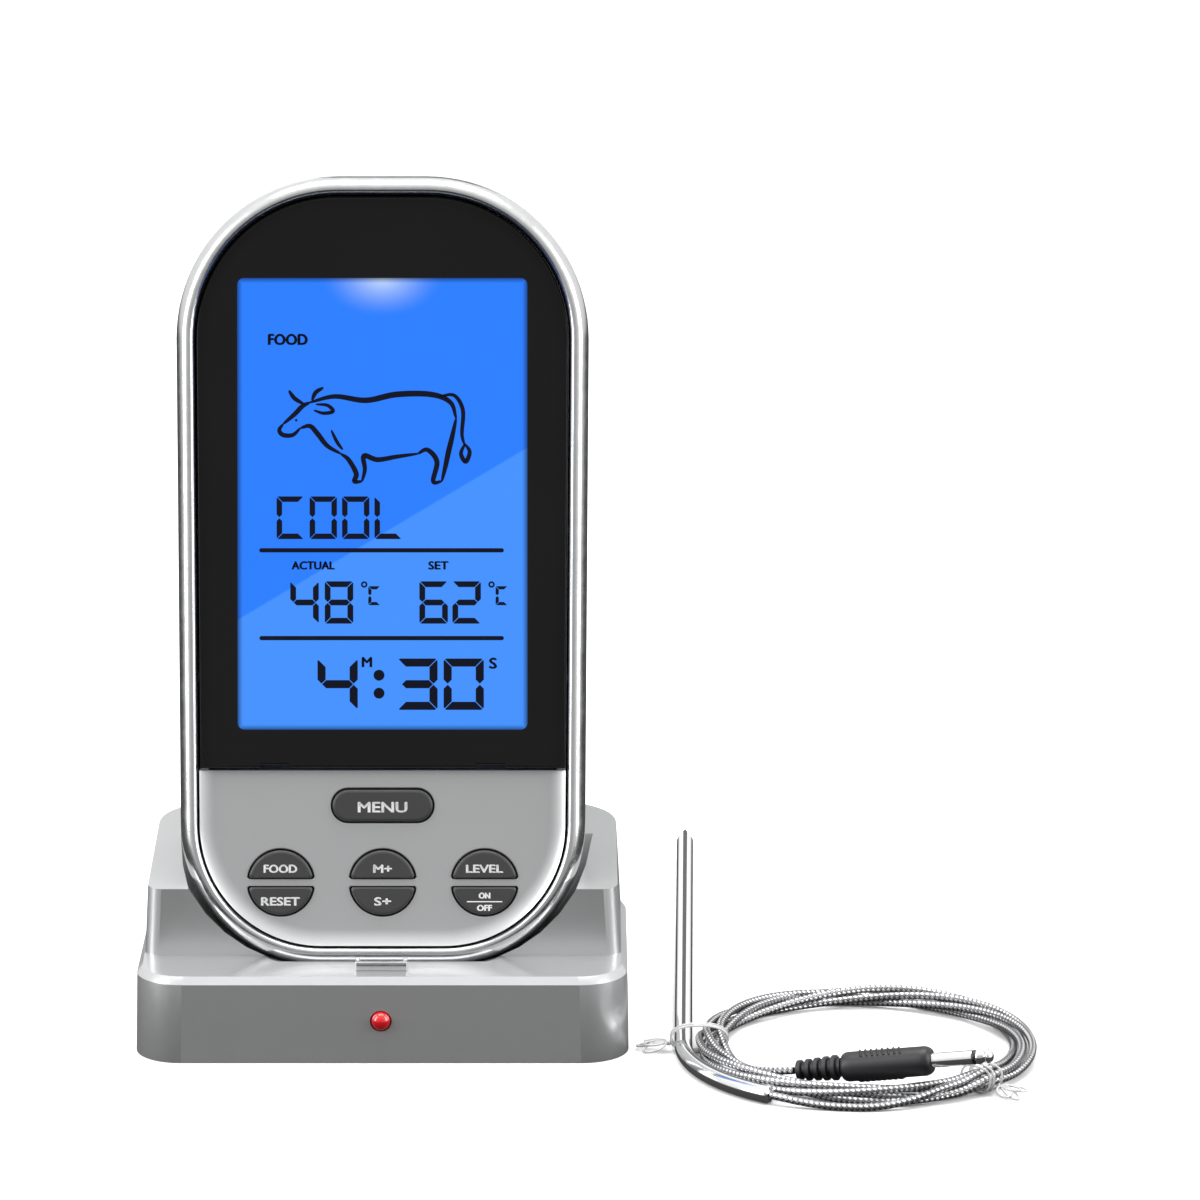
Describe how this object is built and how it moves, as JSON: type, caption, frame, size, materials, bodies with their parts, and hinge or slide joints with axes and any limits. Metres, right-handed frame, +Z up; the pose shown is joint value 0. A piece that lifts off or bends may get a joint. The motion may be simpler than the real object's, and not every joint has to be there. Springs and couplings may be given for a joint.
{
  "type": "wireless meat thermometer",
  "caption": "Handheld display unit with buttons standing in a transmitter dock, with a bent steel probe needle on a coiled braided lead ending in a plug.",
  "frame": {"origin": "centre of the dock's footprint, on the surface that the dock stands on", "axes": "+Z up, the dock's front faces -Y, +X to the right seen from the front, where the probe and its lead lie"},
  "size_m": [0.1534, 0.1569, 0.1435],
  "materials": {
    "silver_casing": "satin silver paint",
    "bright_rim": "bright metallised",
    "black_lens": "high gloss black",
    "lcd_blue": "back-lit blue display",
    "diffuser": "milky",
    "circuit_board": "green solder mask",
    "button_grey": "satin dark grey",
    "keypad_rubber": "matt grey",
    "black_rubber": "matt black",
    "cell_jacket": "printed foil jacket",
    "spring_steel": "plain",
    "brass_wire": "plain",
    "black_plastic": "moulded black",
    "indicator_red": "clear red gloss",
    "polished_steel": "polished stainless",
    "steel_braid": "braided stainless wire",
    "clear_tie": "clear plastic over wire"
  },
  "bodies": {
    "dock": {"dock_shell": "silver_casing", "dock_bottom_cover": "black_plastic", "retaining_tab": "bright_rim", "status_led": "indicator_red", "dock_board": "circuit_board", "probe_jack": "black_plastic", "dock_antenna": "brass_wire", "dock_cell_1": "cell_jacket", "dock_cell_2": "cell_jacket", "dock_contact_bridge": "spring_steel", "dock_contact_pair": "spring_steel", "dock_foot_1": "black_rubber", "dock_foot_2": "black_rubber", "dock_foot_3": "black_rubber", "dock_foot_4": "black_rubber", "dock_screw_1": "polished_steel", "dock_screw_2": "polished_steel", "dock_screw_3": "polished_steel", "dock_screw_4": "polished_steel"},
    "dock_door": {"dock_battery_door": "silver_casing"},
    "dock_switch": {"power_switch": "black_plastic"},
    "display_unit": {"rim_trim": "bright_rim", "front_housing": "silver_casing", "display_lens": "black_lens", "lcd_panel": "lcd_blue", "backlight": "diffuser", "unit_board": "circuit_board", "button_keypad": "keypad_rubber", "rear_housing": "silver_casing", "stand_pin": "polished_steel", "buzzer": "black_plastic", "unit_antenna": "brass_wire", "unit_cell_1": "cell_jacket", "unit_cell_2": "cell_jacket", "unit_contact_bridge": "spring_steel", "unit_contact_pair": "spring_steel", "unit_screw_1": "polished_steel", "unit_screw_2": "polished_steel", "unit_screw_3": "polished_steel", "unit_screw_4": "polished_steel"},
    "mode_key": {"mode_button": "button_grey"},
    "meat_key": {"meat_button": "button_grey"},
    "clear_key": {"clear_button": "button_grey"},
    "min_key": {"min_button": "button_grey"},
    "sec_key": {"sec_button": "button_grey"},
    "taste_key": {"taste_button": "button_grey"},
    "start_stop_key": {"start_stop_button": "button_grey"},
    "unit_door": {"unit_battery_door": "silver_casing"},
    "stand": {"fold_out_stand": "silver_casing"},
    "lead": {"probe_needle": "polished_steel", "thermistor": "black_plastic", "cable_lead_in": "steel_braid", "cable_coil": "steel_braid", "cable_tail": "steel_braid", "twist_tie_1": "clear_tie", "twist_tie_2": "clear_tie", "strain_relief": "black_plastic", "plug_body": "black_plastic", "plug_pin": "polished_steel", "plug_insulator": "black_plastic"}
  },
  "joints": [
    {"name": "display_unit_lift", "type": "slide", "parent": "dock", "child": "display_unit", "axis": [0, 0.225, 0.9744], "range_m": [0, 0.06]},
    {"name": "mode_press", "type": "slide", "parent": "display_unit", "child": "mode_key", "axis": [0, 0.9744, -0.225], "range_m": [0, 0.0007], "stiffness_N_per_m": 300},
    {"name": "meat_press", "type": "slide", "parent": "display_unit", "child": "meat_key", "axis": [0, 0.9744, -0.225], "range_m": [0, 0.0007], "stiffness_N_per_m": 300},
    {"name": "clear_press", "type": "slide", "parent": "display_unit", "child": "clear_key", "axis": [0, 0.9744, -0.225], "range_m": [0, 0.0007], "stiffness_N_per_m": 300},
    {"name": "min_press", "type": "slide", "parent": "display_unit", "child": "min_key", "axis": [0, 0.9744, -0.225], "range_m": [0, 0.0007], "stiffness_N_per_m": 300},
    {"name": "sec_press", "type": "slide", "parent": "display_unit", "child": "sec_key", "axis": [0, 0.9744, -0.225], "range_m": [0, 0.0007], "stiffness_N_per_m": 300},
    {"name": "taste_press", "type": "slide", "parent": "display_unit", "child": "taste_key", "axis": [0, 0.9744, -0.225], "range_m": [0, 0.0007], "stiffness_N_per_m": 300},
    {"name": "start_stop_press", "type": "slide", "parent": "display_unit", "child": "start_stop_key", "axis": [0, 0.9744, -0.225], "range_m": [0, 0.0007], "stiffness_N_per_m": 300},
    {"name": "stand_swing", "type": "hinge", "parent": "display_unit", "child": "stand", "pos_m": [0, 0.0322, 0.12648], "axis": [1, 0, 0], "range_deg": [0, 38]},
    {"name": "unit_door_off", "type": "slide", "parent": "display_unit", "child": "unit_door", "axis": [0, 0.9744, -0.225], "range_m": [0, 0.012]},
    {"name": "dock_door_off", "type": "slide", "parent": "dock", "child": "dock_door", "axis": [0, 1, 0], "range_m": [0, 0.012]},
    {"name": "power_switch_slide", "type": "slide", "parent": "dock", "child": "dock_switch", "axis": [0, 1, 0], "range_m": [0, 0.004]},
    {"name": "lead_lift", "type": "slide", "parent": "dock", "child": "lead", "axis": [0, 0, 1], "range_m": [0, 0.05]}
  ]
}
